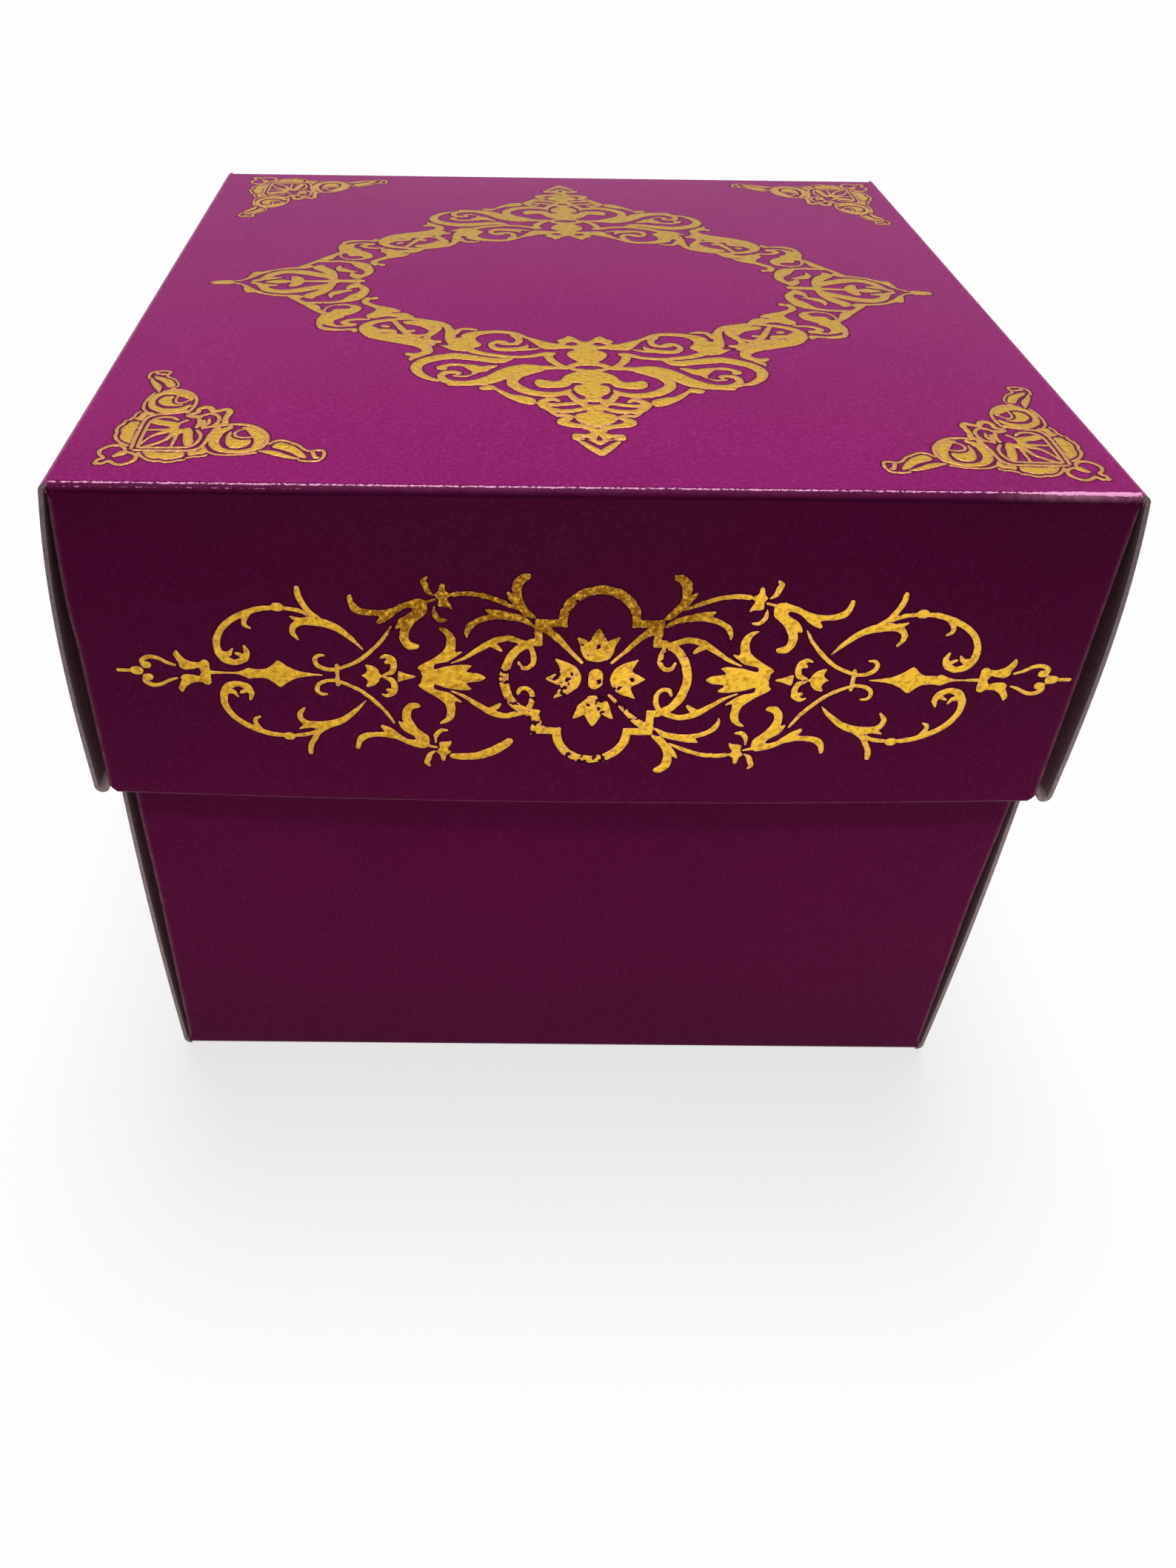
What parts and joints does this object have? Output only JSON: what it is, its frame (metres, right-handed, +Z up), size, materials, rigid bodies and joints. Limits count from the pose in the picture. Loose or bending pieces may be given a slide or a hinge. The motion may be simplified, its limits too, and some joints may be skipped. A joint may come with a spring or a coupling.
{
  "type": "square gift box",
  "caption": "Two-piece square gift box in printed paperboard: a folded base and a lift-off lid, both with roll-over side walls and trapped corner flaps, with foil ornament on the lid.",
  "frame": {"origin": "middle of the base's underside, on the surface that the box stands on", "axes": "+Z up through the lid, +X along the front wall to the right, -Y out of the front wall, which is the ornamented wall in the picture"},
  "size_m": [0.104, 0.102, 0.0853],
  "materials": {
    "printed_board": "gloss film over print",
    "raw_board": "uncoated, cut edge and reverse",
    "gold_foil": "hot-stamped foil, crinkled"
  },
  "bodies": {
    "base": {"base_floor_panel": "printed_board", "base_front_wall": "printed_board", "base_back_wall": "printed_board", "base_left_wall": "printed_board", "base_right_wall": "printed_board", "base_front_rim": "printed_board", "base_back_rim": "printed_board", "base_left_rim": "printed_board", "base_right_rim": "printed_board", "base_front_lining": "printed_board", "base_back_lining": "printed_board", "base_left_lining": "printed_board", "base_right_lining": "printed_board", "base_front_left_flap": "printed_board", "base_front_right_flap": "printed_board", "base_back_left_flap": "printed_board", "base_back_right_flap": "printed_board"},
    "lid": {"lid_top_panel": "printed_board", "lid_front_wall": "printed_board", "lid_back_wall": "printed_board", "lid_left_wall": "printed_board", "lid_right_wall": "printed_board", "lid_front_rim": "printed_board", "lid_back_rim": "printed_board", "lid_left_rim": "printed_board", "lid_right_rim": "printed_board", "lid_front_lining": "printed_board", "lid_back_lining": "printed_board", "lid_left_lining": "printed_board", "lid_right_lining": "printed_board", "lid_front_left_flap": "printed_board", "lid_front_right_flap": "printed_board", "lid_back_left_flap": "printed_board", "lid_back_right_flap": "printed_board"}
  },
  "joints": [
    {"name": "lid_lift", "type": "slide", "parent": "base", "child": "lid", "axis": [0, 0, 1], "range_m": [0, 0.06]}
  ]
}
